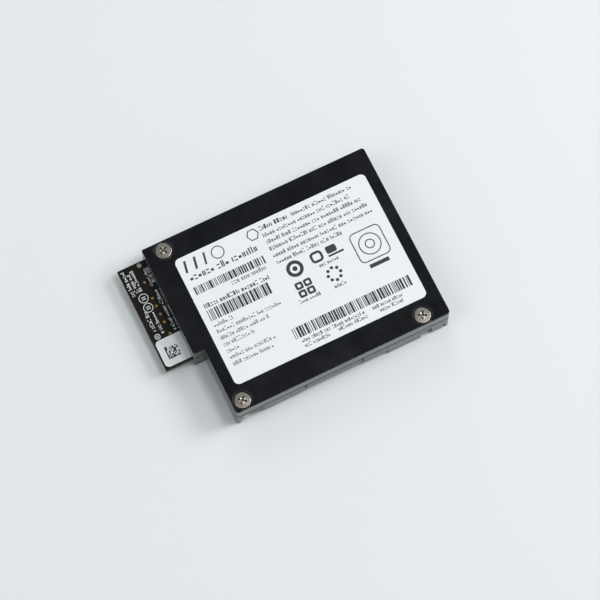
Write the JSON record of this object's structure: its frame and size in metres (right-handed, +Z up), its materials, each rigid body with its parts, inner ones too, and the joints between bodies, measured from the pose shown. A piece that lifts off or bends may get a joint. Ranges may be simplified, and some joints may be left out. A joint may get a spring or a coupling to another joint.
{
  "type": "battery backup module",
  "caption": "Flat battery backup module in a black case on a circuit board whose tab carries a plug; it screws onto a storage controller card.",
  "frame": {"origin": "centre of the plan box, at the height of the feet", "axes": "+X along the long side, away from the board's tab; +Y from the front wall to the back wall; +Z up out of the label"},
  "size_m": [0.0804, 0.0564, 0.0116],
  "materials": {
    "cover_plastic": "smooth gloss",
    "tray_plastic": "smooth gloss",
    "label_film": "satin film",
    "board_laminate": "solder mask",
    "sticker_film": "satin film",
    "plated_steel": "nickel plated",
    "plated_brass": "nickel plated",
    "cell_can": "drawn can",
    "insulator": "matt",
    "nickel_strip": "bright",
    "bead_epoxy": "dipped",
    "foam": "closed cell",
    "plug_plastic": "fine matt",
    "gold_plate": "gold plated",
    "chip_epoxy": "moulded matt",
    "tinned_leads": "matt tin",
    "coil_ferrite": "ground",
    "tantalum_resin": "moulded",
    "capacitor_ceramic": "fired",
    "resistor_body": "glazed",
    "fuse_body": "fired"
  },
  "bodies": {
    "root": {"top_cover": "cover_plastic", "base_tray": "tray_plastic", "rating_label": "label_film", "circuit_board": "board_laminate", "code_sticker": "sticker_film", "cover_screws": "plated_steel", "threaded_standoffs": "plated_brass", "battery_cell": "cell_can", "terminal_cap": "insulator", "positive_tab": "nickel_strip", "negative_tab": "nickel_strip", "thermal_fuse": "insulator", "thermistor": "bead_epoxy", "foam_pad": "foam", "plug_body": "plug_plastic", "plug_contacts": "gold_plate", "gauge_chip": "chip_epoxy", "memory_chip": "chip_epoxy", "controller_chip": "chip_epoxy", "switch_chips": "chip_epoxy", "chip_leads": "tinned_leads", "charger_chip": "chip_epoxy", "power_coil": "coil_ferrite", "tantalum_capacitors": "tantalum_resin", "ceramic_capacitors": "capacitor_ceramic", "chip_resistors": "resistor_body", "sense_resistor": "resistor_body", "board_fuse": "fuse_body", "diodes": "chip_epoxy"}
  },
  "joints": []
}
